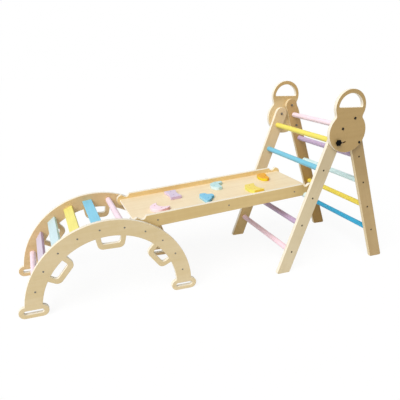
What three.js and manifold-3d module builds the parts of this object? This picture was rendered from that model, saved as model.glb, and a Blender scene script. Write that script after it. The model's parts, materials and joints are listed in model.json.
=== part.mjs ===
// A wooden climbing frame for small children: a folding ladder, a ramp and an arch in one row.
// Millimetres, +Z up, standing on Z = 0, with the row along X and its middle at X = 0, Y = 0.
// The ladder is a hinged triangle: the front legs turn on bolts in two head plates, which carry
// the back legs. A star knob on each side clamps the fold in an arc slot of the head plate.
// The ramp hooks over one rung of the ladder and one of the arch, by notches in its side rails.

import * as THREE from 'three';
import { mergeVertices } from 'three/addons/utils/BufferGeometryUtils.js';
import Module from 'manifold-3d';

const degree = Math.PI / 180;

// Fits and cuts that every piece shares
const seatGap = 0.3;
const boltPlay = 0.4;
const cutOverrun = 4;
const facetSag = 0.25;
const mergeDistance = 1e-4;

// Stock
const plyThickness = 18;
const plyChamfer = 1.5;
const rungDiameter = 28;

// Ladder legs, with the lean of each pair measured from the vertical
const ladderInnerWidth = 500;
const legWidth = 72;
const legToeRadius = 7;
const pivotHeight = 744;
const frontLean = 18.1 * degree;
const backLean = 21.4 * degree;

// Upper back bolt, measured from the pivot bolt, and the lower one along the back leg
const backBoltReach = 65.4;
const backBoltRise = 48.6;
const lowerBoltDrop = 128;

// Rungs, measured down their own pair of legs from the pivot bolt or the upper back bolt
const clampRungDrop = 68.7;
const frontRungPitch = 147.9;
const frontRungColours = ['yellow', 'blue', 'mint', 'lilac', 'pink'];
const rampRungIndex = 2;
const firstBackRungDrop = 60.8;
const backRungPitch = 152;
const backRungColours = ['pink', 'lilac', 'mint', 'yellow', 'blue'];

// Head plates: a wide disc, a ring handle above it and a D-shaped grip hole in the ring
const discWidth = 216;
const discHeight = 198;
const discDrop = 18;
const ringWidth = 176;
const ringHeight = 167;
const ringRise = 102.5;
const waistStart = 41 * degree;
const waistEnd = 24 * degree;
const gripWidth = 141;
const gripHeight = 66;
const gripRise = 100;
const gripCornerRadius = 6;

// Bolts through head plate and leg, and their cap nuts
const boltDiameter = 6;
const boltHeadDiameter = 13;
const boltHeadHeight = 3.6;
const boltRimHeight = 1;
const hexKeyWidth = 4;
const hexKeyDepth = 2;
const nutDiameter = 13;
const nutRimHeight = 4;
const nutHeight = 8;
const nutBoreDepth = 6;

// Clamp: star knob, washer and stud
const studDiameter = 6;
const studRungDepth = 26;
const studKnobDepth = 9;
const washerDiameter = 18;
const washerThickness = 1.6;
const knobDiameter = 32;
const knobLobeDepth = 2.6;
const knobLobes = 6;
const knobStepsPerLobe = 6;
const knobHeight = 12;
const knobEdgeRadius = 2.5;
const knobBossDiameter = 18;
const knobBossHeight = 3;

// Ramp: rails with a notch above and below at both ends, and a board at their mid height
const rampNotchSpan = 854;
const rampOuterWidth = 346;
const rampSideShift = -35;
const railHeight = 60;
const notchDepth = 15;
const notchShoulderSteepness = 55 * degree;
const notchTipSteepness = 37 * degree;
const shoulderRadius = 3;
const noseRadius = 28.5;
const noseReach = 49;
const boardThickness = 12;
const boardOverhang = 34;
const boardChamfer = 1;

// Climbing holds on the board: place of the middle, size, and an outline in shares of the size
const holdThickness = 15;
const holdChamfer = 1.2;
const holds = [
  {
    name: 'hold_crescent_pink', colour: 'pink', along: 109, across: -65, length: 92, width: 94,
    cornerShares: [
      [0.01, 0.53, 0.03], [-0.11, 0.2, 0.51], [0.18, -0.22, 0.51], [0.54, -0.2, 0.03],
      [0.35, -0.43, 0.49], [-0.08, -0.54, 0.49], [-0.46, -0.31, 0.49], [-0.53, 0.11, 0.49],
      [-0.24, 0.43, 0.49],
    ],
  },
  {
    name: 'hold_block_lilac', colour: 'lilac', along: 220, across: 65, length: 61, width: 100,
    cornerShares: [
      [-0.52, 0.5, 0.05], [0.52, 0.5, 0.05], [0.37, 0.16, 1.97], [0.37, -0.17, 1.97],
      [0.52, -0.49, 0.05], [-0.47, -0.5, 0.05], [-0.37, -0.16, 1.97], [-0.37, 0.16, 1.97],
    ],
  },
  {
    name: 'hold_boot_blue', colour: 'blue', along: 360, across: -59, length: 68, width: 102,
    cornerShares: [
      [-0.5, 0.27, 0.16], [-0.34, 0.51, 0.19], [0.06, 0.48, 0.15], [0.13, 0.26, 0.18],
      [0.5, 0.22, 0.13], [0.49, -0.05, 0.12], [0.22, -0.12, 0.12], [0.13, -0.31, 0.21],
      [-0.15, -0.5, 0.15], [-0.45, -0.5, 0.15],
    ],
  },
  {
    name: 'hold_hook_mint', colour: 'mint', along: 473, across: 75, length: 81, width: 96,
    cornerShares: [
      [-0.52, -0.08, 0.42], [-0.39, 0.34, 0.42], [0.01, 0.51, 0.37], [0.48, 0.47, 0.06],
      [0.5, 0.27, 0.04], [0.13, 0.11, 0.11], [0.11, -0.12, 0.11], [0.1, -0.48, 0.05],
      [-0.34, -0.51, 0.37],
    ],
  },
  {
    name: 'hold_fan_yellow', colour: 'yellow', along: 615, across: -55, length: 74, width: 106,
    cornerShares: [
      [-0.27, 0.5, 0.04], [0.46, 0.5, 0.04], [0.25, 0.18, 1.08], [0.25, -0.2, 1.08],
      [0.54, -0.47, 0.04], [-0.27, -0.5, 0.04], [-0.5, -0.22, 0.95], [-0.5, 0.2, 0.95],
    ],
  },
  {
    name: 'hold_heart_orange', colour: 'orange', along: 750, across: 74, length: 64, width: 102,
    cornerShares: [
      [-0.51, 0, 0.28], [-0.31, 0.41, 0.41], [0.13, 0.51, 0.28], [0.52, 0.41, 0.23],
      [0.47, 0.14, 0.19], [0.24, 0.03, 0.08], [0.29, -0.15, 0.19], [0.22, -0.44, 0.25],
      [-0.1, -0.53, 0.28], [-0.4, -0.37, 0.41],
    ],
  },
];

// Arch: two half rings with finger loops inside and slotted feet, and rungs between them
const archInnerWidth = 360;
const archSideShift = -38;
const archInnerRadius = 299;
const archBandWidth = 72;
const footLength = 122;
const footHeight = 54;
const footSlotLength = 80;
const footSlotHeight = 18;
const loopAngles = [38.5, 90, 141.5].map((angle) => angle * degree);
const loopDepth = 59;
const loopRootWidth = 134;
const loopTipWidth = 110;
const loopCornerRadius = 26;
const loopHoleRootWidth = 86;
const loopHoleTipWidth = 78;
const loopHoleDepth = 35;
const loopHoleRadius = 12;
const archRungAnglePitch = 16.5 * degree;
const archCrownGap = 18 * degree;
const archRungTurn = -1.1 * degree;
const slatWidth = 45;
const slatThickness = 15;
const slatEdgeRadius = 3;
const archRungs = [
  { colour: 'pink', round: true }, { colour: 'lilac' }, { colour: 'mint' }, { colour: 'yellow' },
  { colour: 'blue' }, { colour: 'pink', round: true }, { colour: 'lilac', round: true },
  { colour: 'mint' }, { colour: 'yellow' }, { colour: 'blue', round: true },
];
const hookRungIndex = 6;

// Finishes
const finish = (color, roughness, metalness = 0) => (
  new THREE.MeshStandardMaterial({ color, roughness, metalness })
);
const birch = finish('#d9c294', 0.6);
const steel = finish('#8d9093', 0.35, 1);
const blackPlastic = finish('#151515', 0.5);
const paints = {
  pink: finish('#f3cfe0', 0.55),
  lilac: finish('#cbb5da', 0.55),
  mint: finish('#c5e7e9', 0.55),
  yellow: finish('#efdc62', 0.55),
  blue: finish('#78c6e9', 0.55),
  orange: finish('#f6b21c', 0.55),
};

// Solids are joined and cut as closed meshes
const wasm = await Module();
wasm.setup();

function toSolid(geometry) {
  const bare = geometry.clone();
  bare.deleteAttribute('normal');
  bare.deleteAttribute('uv');
  const merged = mergeVertices(bare, mergeDistance);
  const mesh = new wasm.Mesh({
    numProp: 3,
    vertProperties: new Float32Array(merged.attributes.position.array),
    triVerts: new Uint32Array(merged.index.array),
  });
  return new wasm.Manifold(mesh);
}

function toGeometry(solid) {
  const { vertProperties, triVerts } = solid.getMesh();
  const indexed = new THREE.BufferGeometry();
  indexed.setAttribute('position', new THREE.BufferAttribute(vertProperties, 3));
  indexed.setIndex(new THREE.BufferAttribute(triVerts, 1));
  const geometry = indexed.toNonIndexed();
  geometry.computeVertexNormals();
  return geometry;
}

function join(...geometries) {
  return toGeometry(geometries.map(toSolid).reduce((whole, solid) => whole.add(solid)));
}

function cut(geometry, ...cutters) {
  return toGeometry(cutters.map(toSolid).reduce((rest, cutter) => rest.subtract(cutter), toSolid(geometry)));
}

// Outlines lie in the X-Z plane and are lists of points
const point = (x, z) => new THREE.Vector2(x, z);

function stepsFor(radius, sweep) {
  const step = 2 * Math.acos(Math.max(0, 1 - facetSag / radius));
  return Math.max(2, Math.ceil(Math.abs(sweep) / step));
}

function arc(center, radius, from, to, radiusZ = radius) {
  const steps = stepsFor(Math.max(radius, radiusZ), to - from);
  return Array.from({ length: steps + 1 }, (_, i) => {
    const angle = from + (to - from) * (i / steps);
    return point(center.x + radius * Math.cos(angle), center.y + radiusZ * Math.sin(angle));
  });
}

// Corners are [x, z, radius]; a radius is limited by half of the shorter side next to it
function roundCorners(corners) {
  return corners.flatMap(([x, z, radius], i) => {
    const corner = point(x, z);
    if (!radius) return [corner];
    const last = corners[(i + corners.length - 1) % corners.length];
    const next = corners[(i + 1) % corners.length];
    const back = point(last[0], last[1]).sub(corner);
    const ahead = point(next[0], next[1]).sub(corner);
    const room = Math.min(back.length(), ahead.length()) / 2;
    const backward = back.clone().normalize();
    const forward = ahead.clone().normalize();
    const half = Math.acos(THREE.MathUtils.clamp(backward.dot(forward), -1, 1)) / 2;
    const fitted = Math.min(radius, room * Math.tan(half));
    const bisector = backward.clone().add(forward).normalize();
    const center = corner.clone().addScaledVector(bisector, fitted / Math.sin(half));
    const start = corner.clone().addScaledVector(backward, fitted / Math.tan(half)).sub(center).angle();
    const end = corner.clone().addScaledVector(forward, fitted / Math.tan(half)).sub(center).angle();
    const sweep = THREE.MathUtils.euclideanModulo(end - start + Math.PI, 2 * Math.PI) - Math.PI;
    return arc(center, fitted, start, start + sweep);
  });
}

function box(width, height, radius, middle = point(0, 0)) {
  const [x, z] = [width / 2, height / 2];
  const corners = [[-x, -z], [x, -z], [x, z], [-x, z]];
  return roundCorners(corners.map(([cx, cz]) => [middle.x + cx, middle.y + cz, radius]));
}

function withoutRepeats(points) {
  return points.filter((p, i) => p.distanceTo(points[(i + 1) % points.length]) > mergeDistance);
}

function turned(points, angle) {
  return points.map((p) => p.clone().rotateAround(point(0, 0), angle));
}

// A board cut from sheet: the outline in X-Z, its thickness from Y = 0 to +Y, all edges chamfered
function sheet(outline, thickness, chamfer = 0, holes = []) {
  const shape = new THREE.Shape(withoutRepeats(outline));
  shape.holes = holes.map((hole) => new THREE.Path(withoutRepeats(hole)));
  const geometry = new THREE.ExtrudeGeometry(shape, {
    depth: thickness - 2 * chamfer,
    bevelEnabled: chamfer > 0,
    bevelThickness: chamfer,
    bevelSize: chamfer,
    bevelOffset: -chamfer,
    bevelSegments: 1,
  });
  geometry.rotateX(Math.PI / 2);
  geometry.translate(0, thickness - chamfer, 0);
  return geometry;
}

// A cutter for a hole with chamfered edges through a sheet that starts at Y = 0
function holeCutter(outline, thickness, chamfer) {
  const straight = sheet(outline, thickness + 2 * cutOverrun);
  straight.translate(0, -cutOverrun, 0);
  const shape = new THREE.Shape(withoutRepeats(outline));
  const flares = [0, thickness].map((faceY) => {
    const flare = new THREE.ExtrudeGeometry(shape, {
      depth: 0,
      bevelThickness: chamfer,
      bevelSize: chamfer,
      bevelSegments: 1,
    });
    flare.rotateX(Math.PI / 2);
    flare.translate(0, faceY, 0);
    return flare;
  });
  return join(straight, ...flares);
}

// Round pieces stand along Y, from Y = 0
function rod(diameter, length) {
  const sides = 8 * Math.ceil(stepsFor(diameter / 2, 2 * Math.PI) / 8);
  const geometry = new THREE.CylinderGeometry(diameter / 2, diameter / 2, length, sides);
  geometry.translate(0, length / 2, 0);
  return geometry;
}

function bore(diameter, thickness, x, z) {
  const cutter = rod(diameter, thickness + 2 * cutOverrun);
  cutter.translate(x, -cutOverrun, z);
  return cutter;
}

function lathe(profile, diameter) {
  const sides = 8 * Math.ceil(stepsFor(diameter / 2, 2 * Math.PI) / 8);
  return new THREE.LatheGeometry(profile, sides);
}

function piece(parent, name, geometry, material, x = 0, y = 0, z = 0) {
  const mesh = new THREE.Mesh(geometry, material);
  mesh.name = name;
  mesh.position.set(x, y, z);
  parent.add(mesh);
  return mesh;
}

// The two sides of the frame: near is -Y and far is +Y
const sides = [{ name: 'near', sign: -1 }, { name: 'far', sign: 1 }];

// Y of the lower face of a sheet whose inner face is a distance from the middle
function sheetStart(side, innerFace) {
  return side.sign > 0 ? innerFace : -innerFace - plyThickness;
}

// A piece drawn for the near side, turned round for the far side, with its origin at a depth
function faceOutwards(mesh, side, depth) {
  mesh.position.y = side.sign * depth;
  mesh.rotation.z = side.sign > 0 ? Math.PI : 0;
}

const rungRadius = rungDiameter / 2;
const ladderHalf = ladderInnerWidth / 2;
const plateInner = ladderHalf + plyThickness + seatGap;
const plateOuter = plateInner + plyThickness;
const foldAngle = frontLean + backLean;
const shankHole = boltDiameter + 2 * boltPlay;
const studHole = studDiameter + 2 * boltPlay;

// A leg hangs from its head bolt at the origin and is cut level with the floor
function legOutline(lean, headHeight) {
  const half = legWidth / 2;
  const floorAt = (x) => (x * Math.sin(lean) - headHeight) / Math.cos(lean);
  return roundCorners([
    [-half, half, half], [half, half, half],
    [half, floorAt(half), legToeRadius], [-half, floorAt(-half), legToeRadius],
  ]);
}

function makeLeg(lean, headHeight, boltDrops) {
  const blank = sheet(legOutline(lean, headHeight), plyThickness, plyChamfer);
  return cut(blank, ...boltDrops.map((drop) => bore(shankHole, plyThickness, 0, -drop)));
}

function makeRung(length) {
  return rod(rungDiameter, length - 2 * seatGap);
}

// Disc and ring are ellipses joined by curves that are tangent to both at the waist
function headPlateOutline() {
  const middle = backBoltReach / 2;
  const disc = { center: point(middle, -discDrop), x: discWidth / 2, z: discHeight / 2 };
  const ring = { center: point(middle, ringRise), x: ringWidth / 2, z: ringHeight / 2 };
  const discArc = arc(disc.center, disc.x, waistStart, -Math.PI - waistStart, disc.z);
  const ringArc = arc(ring.center, ring.x, Math.PI + waistEnd, -waistEnd, ring.z);
  const discSlope = point(-disc.x * Math.sin(waistStart), disc.z * Math.cos(waistStart));
  const ringSlope = point(-ring.x * Math.sin(waistEnd), -ring.z * Math.cos(waistEnd));
  const waist = meeting(discArc[0], discSlope, ringArc[ringArc.length - 1], ringSlope);
  const waistLeft = point(2 * middle - waist.x, waist.y);
  const bend = (from, control, to) => (
    new THREE.QuadraticBezierCurve(from, control, to).getPoints(stepsFor(discWidth / 2, Math.PI / 2))
  );
  return [
    ...discArc,
    ...bend(discArc[discArc.length - 1], waistLeft, ringArc[0]),
    ...ringArc,
    ...bend(ringArc[ringArc.length - 1], waist, discArc[0]),
  ];
}

// Where two lines meet, each given by a point and a direction
function meeting(a, alongA, b, alongB) {
  const t = b.clone().sub(a).cross(alongB) / alongA.cross(alongB);
  return a.clone().addScaledVector(alongA, t);
}

function gripOutline() {
  const middle = backBoltReach / 2;
  const half = gripWidth / 2;
  const crown = arc(point(middle, gripRise), half, 0, Math.PI, gripHeight).slice(1, -1);
  return roundCorners([
    [middle + half, gripRise, gripCornerRadius],
    ...crown.map((p) => [p.x, p.y, 0]),
    [middle - half, gripRise, gripCornerRadius],
  ]);
}

// The slot lets the clamp stud swing round the pivot from the open stop to the folded one
function clampSlotOutline() {
  const open = -Math.PI / 2 - frontLean;
  const folded = open + foldAngle;
  const half = studHole / 2;
  const endAt = (angle) => point(clampRungDrop * Math.cos(angle), clampRungDrop * Math.sin(angle));
  const pivot = point(0, 0);
  return [
    ...arc(pivot, clampRungDrop + half, open, folded),
    ...arc(endAt(folded), half, folded, folded + Math.PI),
    ...arc(pivot, clampRungDrop - half, folded, open),
    ...arc(endAt(open), half, open + Math.PI, open + 2 * Math.PI),
  ];
}

function makeHeadPlate() {
  const blank = sheet(headPlateOutline(), plyThickness, plyChamfer, [gripOutline()]);
  const lower = lowerBoltPlace();
  const slot = sheet(clampSlotOutline(), plyThickness + 2 * cutOverrun);
  slot.translate(0, -cutOverrun, 0);
  return cut(
    blank,
    slot,
    bore(shankHole, plyThickness, 0, 0),
    bore(shankHole, plyThickness, backBoltReach, backBoltRise),
    bore(shankHole, plyThickness, lower.x, lower.y),
  );
}

// Lower back bolt, measured from the pivot bolt
function lowerBoltPlace() {
  return point(
    backBoltReach + lowerBoltDrop * Math.sin(backLean),
    backBoltRise - lowerBoltDrop * Math.cos(backLean),
  );
}

// Domed head with a hexagon socket; the shank starts at Y = 0, below the head
const nutSeat = 2 * plyThickness + 3 * seatGap;

function makeBolt() {
  const head = boltHeadDiameter / 2;
  const dome = arc(point(0, boltRimHeight), head, 0, Math.PI / 2, boltHeadHeight - boltRimHeight);
  const profile = [
    ...dome.reverse().map((p) => point(Math.max(0, p.x), -p.y)),
    point(head, 0),
    point(boltDiameter / 2, 0),
    point(boltDiameter / 2, nutSeat + nutBoreDepth - seatGap),
    point(0, nutSeat + nutBoreDepth - seatGap),
  ];
  profile[0].x = 0;
  const socket = new THREE.CylinderGeometry(hexKeyWidth / 2, hexKeyWidth / 2, hexKeyDepth + cutOverrun, 6);
  socket.translate(0, -boltHeadHeight + hexKeyDepth / 2 - cutOverrun / 2, 0);
  return cut(lathe(profile, boltHeadDiameter), socket);
}

// Cap nut on the inner face of the leg, open towards the bolt at Y = 0
function makeCapNut() {
  const outer = nutDiameter / 2;
  const inner = shankHole / 2;
  const dome = arc(point(0, nutRimHeight), outer, 0, Math.PI / 2, nutHeight - nutRimHeight);
  dome[dome.length - 1].x = 0;
  return lathe([point(0, nutBoreDepth), point(inner, nutBoreDepth), point(inner, 0), point(outer, 0), ...dome],
    nutDiameter);
}

function makeWasher() {
  const outer = washerDiameter / 2;
  const inner = studHole / 2;
  const corners = [
    point(inner, 0), point(outer, 0), point(outer, washerThickness), point(inner, washerThickness),
  ];
  return lathe([...corners, corners[0]], washerDiameter);
}

// Star knob: lobed grip over a round boss, which faces the head plate at Y = 0
function makeKnob() {
  const steps = knobLobes * knobStepsPerLobe;
  const grip = Array.from({ length: steps }, (_, i) => {
    const angle = 2 * Math.PI * (i / steps);
    const radius = knobDiameter / 2 - knobLobeDepth / 2 * (1 - Math.cos(knobLobes * angle));
    return point(radius * Math.cos(angle), radius * Math.sin(angle));
  });
  const star = sheet(grip, knobHeight - knobBossHeight, knobEdgeRadius);
  star.translate(0, -knobHeight, 0);
  const boss = rod(knobBossDiameter, knobBossHeight + knobEdgeRadius);
  boss.translate(0, -knobBossHeight - knobEdgeRadius, 0);
  const well = rod(studHole, studKnobDepth + cutOverrun);
  well.translate(0, -studKnobDepth, 0);
  return cut(join(star, boss), well);
}

// Front ladder: everything hangs from the pivot and leans forward
const rungPlace = (index) => point(0, -(clampRungDrop + index * frontRungPitch));
const clampStack = plateOuter + seatGap + washerThickness + seatGap;

function makeClampRung() {
  const plain = makeRung(ladderInnerWidth);
  const near = rod(studHole, studRungDepth + cutOverrun);
  near.translate(0, -cutOverrun, 0);
  const far = near.clone();
  far.rotateZ(Math.PI);
  far.translate(0, ladderInnerWidth - 2 * seatGap, 0);
  return cut(plain, near, far);
}

function buildFrontLadder() {
  const group = new THREE.Group();
  group.position.z = pivotHeight;
  group.rotation.y = frontLean;
  const leg = makeLeg(frontLean, pivotHeight, [0, clampRungDrop]);
  const rung = makeRung(ladderInnerWidth);
  const studReach = clampStack - ladderHalf + studRungDepth - 2 * seatGap;
  for (const side of sides) {
    piece(group, `front_leg_${side.name}`, leg, birch, 0, sheetStart(side, ladderHalf), 0);
    const clamp = rungPlace(0);
    const washer = piece(group, `clamp_washer_${side.name}`, makeWasher(), steel, clamp.x, 0, clamp.y);
    faceOutwards(washer, side, plateOuter + seatGap + washerThickness);
    const stud = piece(group, `clamp_stud_${side.name}`, makeStud(studReach), steel, clamp.x, 0, clamp.y);
    faceOutwards(stud, side, clampStack);
    const knob = piece(group, `clamp_knob_${side.name}`, makeKnob(), blackPlastic, clamp.x, 0, clamp.y);
    faceOutwards(knob, side, clampStack);
  }
  frontRungColours.forEach((colour, i) => {
    const geometry = i === 0 ? makeClampRung() : rung;
    const place = rungPlace(i);
    piece(group, `front_rung_${colour}`, geometry, paints[colour], place.x, seatGap - ladderHalf, place.y);
  });
  return group;
}

function makeStud(reach) {
  const tail = studKnobDepth - seatGap;
  const stud = rod(studDiameter, tail + reach);
  stud.translate(0, -tail, 0);
  return stud;
}

// Back ladder: head plates, back legs and their rungs, with the bolts that hold them
function buildBackLadder() {
  const group = new THREE.Group();
  group.position.z = pivotHeight;
  const plate = makeHeadPlate();
  const bolt = makeBolt();
  const nut = makeCapNut();
  const lower = lowerBoltPlace();
  const boltPlaces = {
    pivot: point(0, 0),
    upper_back: point(backBoltReach, backBoltRise),
    lower_back: lower,
  };
  for (const side of sides) {
    piece(group, `head_plate_${side.name}`, plate, birch, 0, sheetStart(side, plateInner), 0);
    for (const [name, place] of Object.entries(boltPlaces)) {
      const screw = piece(group, `${name}_bolt_${side.name}`, bolt, steel, place.x, 0, place.y);
      faceOutwards(screw, side, plateOuter + seatGap);
      const cap = piece(group, `${name}_nut_${side.name}`, nut, steel, place.x, 0, place.y);
      faceOutwards(cap, side, plateOuter + seatGap - nutSeat);
    }
  }
  const legs = new THREE.Group();
  legs.position.set(backBoltReach, 0, backBoltRise);
  legs.rotation.y = -backLean;
  group.add(legs);
  const leg = makeLeg(-backLean, pivotHeight + backBoltRise, [0, lowerBoltDrop]);
  for (const side of sides) {
    piece(legs, `back_leg_${side.name}`, leg, birch, 0, sheetStart(side, ladderHalf), 0);
  }
  const rung = makeRung(ladderInnerWidth);
  backRungColours.forEach((colour, i) => {
    const drop = firstBackRungDrop + i * backRungPitch;
    piece(legs, `back_rung_${colour}`, rung, paints[colour], 0, seatGap - ladderHalf, -drop);
  });
  return group;
}

// Ramp, drawn level with X from the axis of the arch rung to the axis of the ladder rung at Z = 0
const notchRadius = rungRadius + seatGap;
const railMiddle = notchRadius + railHeight / 2 - notchDepth;

// A quarter of a rail's end: from the shoulder of a notch, through it and round to the nose.
// Each corner is [towards the tip, away from the rail's middle line, corner radius].
function railEndQuarter() {
  const notch = point(0, railMiddle);
  const onNotch = (angle) => point(notchRadius * Math.sin(angle), notch.y - notchRadius * Math.cos(angle));
  const wall = onNotch(-notchShoulderSteepness);
  const rise = railHeight / 2 - wall.y;
  const shoulder = point(wall.x - rise / Math.tan(notchShoulderSteepness), railHeight / 2);
  const floor = arc(notch, notchRadius, -Math.PI / 2 - notchShoulderSteepness, -Math.PI / 2 + notchTipSteepness);
  const lip = floor[floor.length - 1];
  const climb = point(Math.cos(notchTipSteepness), Math.sin(notchTipSteepness));
  const noseCenter = point(noseReach - noseRadius, 0);
  const inward = lip.clone().sub(noseCenter);
  const along = inward.dot(climb);
  const length = -along + Math.sqrt(along ** 2 - inward.lengthSq() + noseRadius ** 2);
  const crest = lip.clone().addScaledVector(climb, length);
  const nose = arc(noseCenter, noseRadius, crest.clone().sub(noseCenter).angle(), 0).slice(1);
  return [
    [shoulder.x, shoulder.y, shoulderRadius],
    ...floor.map((p) => [p.x, p.y, 0]),
    [crest.x, crest.y, shoulderRadius],
    ...nose.map((p) => [p.x, p.y, 0]),
  ];
}

function railOutline() {
  const quarter = railEndQuarter();
  const placed = (corners, origin, signX, signZ) => corners.map(([tip, away, radius]) => (
    [origin + signX * tip, railMiddle + signZ * away, radius]
  ));
  const reversed = [...quarter].reverse();
  return roundCorners([
    ...placed(quarter, rampNotchSpan, 1, 1),
    ...placed(reversed, rampNotchSpan, 1, -1),
    ...placed(quarter, 0, -1, -1),
    ...placed(reversed, 0, -1, 1),
  ]);
}

function makeHold(hold) {
  const corners = hold.cornerShares.map(([alongShare, acrossShare, radiusShare]) => (
    [alongShare * hold.length, -acrossShare * hold.width, radiusShare * hold.length]
  ));
  const slab = sheet(roundCorners(corners), holdThickness, holdChamfer);
  slab.rotateX(Math.PI / 2);
  return slab;
}

function buildRamp() {
  const group = new THREE.Group();
  const railInner = rampOuterWidth / 2 - plyThickness;
  const rail = sheet(railOutline(), plyThickness, plyChamfer);
  for (const side of sides) {
    piece(group, `ramp_rail_${side.name}`, rail, birch, 0, sheetStart(side, railInner), 0);
  }
  const boardLength = rampNotchSpan + 2 * boardOverhang;
  const boardWidth = 2 * (railInner - seatGap);
  const section = box(boardLength, boardThickness, boardChamfer, point(rampNotchSpan / 2, railMiddle));
  piece(group, 'ramp_board', sheet(section, boardWidth), birch, 0, -boardWidth / 2, 0);
  const boardTop = railMiddle + boardThickness / 2 + seatGap;
  for (const hold of holds) {
    piece(group, hold.name, makeHold(hold), paints[hold.colour], hold.along, hold.across, boardTop);
  }
  return group;
}

// Arch, drawn round the middle of its feet on the floor
const ringCenter = point(0, footHeight / 2);
const archOuterRadius = archInnerRadius + archBandWidth;
const archRungRadius = archInnerRadius + archBandWidth / 2;

function archRungAngle(index) {
  const fromCrown = index - (archRungs.length - 1) / 2;
  const extra = (archCrownGap - archRungAnglePitch) / 2 * Math.sign(fromCrown);
  return Math.PI / 2 + archRungTurn - fromCrown * archRungAnglePitch - extra;
}

function archRungPlace(index) {
  const angle = archRungAngle(index);
  return point(archRungRadius * Math.cos(angle), ringCenter.y + archRungRadius * Math.sin(angle));
}

function moved(points, by) {
  return points.map((p) => p.clone().add(by));
}

// A loop is drawn under the crown of a ring round the origin, then turned to its angle
function loopOutline() {
  const root = archInnerRadius;
  const tip = archInnerRadius - loopDepth;
  const sink = archBandWidth / 2;
  return roundCorners([
    [-loopRootWidth / 2, root + sink, 0], [-loopRootWidth / 2, root, 0],
    [-loopTipWidth / 2, tip, loopCornerRadius], [loopTipWidth / 2, tip, loopCornerRadius],
    [loopRootWidth / 2, root, 0], [loopRootWidth / 2, root + sink, 0],
  ]);
}

function loopHoleOutline() {
  const reach = Math.asin(loopHoleRootWidth / 2 / archInnerRadius);
  const crown = arc(point(0, 0), archInnerRadius, Math.PI / 2 - reach, Math.PI / 2 + reach);
  const tip = archInnerRadius - loopHoleDepth;
  return roundCorners([
    ...crown.map((p) => [p.x, p.y, 0]),
    [-loopHoleTipWidth / 2, tip, loopHoleRadius], [loopHoleTipWidth / 2, tip, loopHoleRadius],
  ]);
}

function makeArchPanel() {
  const placed = (outline, angle) => moved(turned(outline, angle - Math.PI / 2), ringCenter);
  const feet = [-1, 1].map((sign) => point(sign * archRungRadius, footHeight / 2));
  const solid = (outline) => sheet(outline, plyThickness, plyChamfer);
  const band = solid([
    ...arc(ringCenter, archOuterRadius, 0, Math.PI),
    ...arc(ringCenter, archInnerRadius, Math.PI, 0),
  ]);
  const blank = join(
    band,
    ...feet.map((middle) => solid(box(footLength, footHeight, footHeight / 2, middle))),
    ...loopAngles.map((angle) => solid(placed(loopOutline(), angle))),
  );
  const opening = (outline) => holeCutter(outline, plyThickness, plyChamfer);
  return cut(
    blank,
    ...feet.map((middle) => opening(box(footSlotLength, footSlotHeight, footSlotHeight / 2, middle))),
    ...loopAngles.map((angle) => opening(placed(loopHoleOutline(), angle))),
  );
}

function buildArch() {
  const group = new THREE.Group();
  const panel = makeArchPanel();
  for (const side of sides) {
    piece(group, `arch_panel_${side.name}`, panel, birch, 0, sheetStart(side, archInnerWidth / 2), 0);
  }
  const round = makeRung(archInnerWidth);
  const slat = sheet(box(slatWidth, slatThickness, slatEdgeRadius), archInnerWidth - 2 * seatGap);
  archRungs.forEach((rung, i) => {
    const place = archRungPlace(i);
    const name = `arch_${rung.round ? 'rung' : 'slat'}_${i + 1}_${rung.colour}`;
    const start = seatGap - archInnerWidth / 2;
    const mesh = piece(group, name, rung.round ? round : slat, paints[rung.colour], place.x, start, place.y);
    mesh.rotation.y = Math.PI / 2 - archRungAngle(i);
  });
  return group;
}

// The row: the ladder stands at X = 0, and the ramp reaches down from its rung to the arch
function buildRow() {
  const row = new THREE.Group();
  row.add(buildFrontLadder(), buildBackLadder());
  const drop = -rungPlace(rampRungIndex).y;
  const ladderRung = point(-drop * Math.sin(frontLean), pivotHeight - drop * Math.cos(frontLean));
  const hook = archRungPlace(hookRungIndex);
  const slope = Math.asin((ladderRung.y - hook.y) / rampNotchSpan);
  const hookX = ladderRung.x - rampNotchSpan * Math.cos(slope);
  const ramp = buildRamp();
  ramp.position.set(hookX, rampSideShift, hook.y);
  ramp.rotation.y = -slope;
  const arch = buildArch();
  arch.position.set(hookX - hook.x, archSideShift, 0);
  row.add(ramp, arch);
  const extent = new THREE.Box3().setFromObject(row, true);
  row.position.x = -(extent.min.x + extent.max.x) / 2;
  row.position.y = -(extent.min.y + extent.max.y) / 2;
  return row;
}

const group = new THREE.Group();
group.add(buildRow());

export default group;
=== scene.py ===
# %% [markdown]
# # A climbing frame of birch plywood and painted rungs
# The real thing is three toys in a row: a folding ladder, a ramp and an arch that children
# climb over. It is cut from 18 mm birch plywood, and its rungs are turned and painted in
# pastel colours. The CAD model is the fixed frame here. Each cell takes its places from that
# frame, so every piece that is made lies exactly where its solid lies.

# %% Open the frame
import json
import math

import bmesh
import bpy
from mathutils import Matrix, Vector


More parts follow.
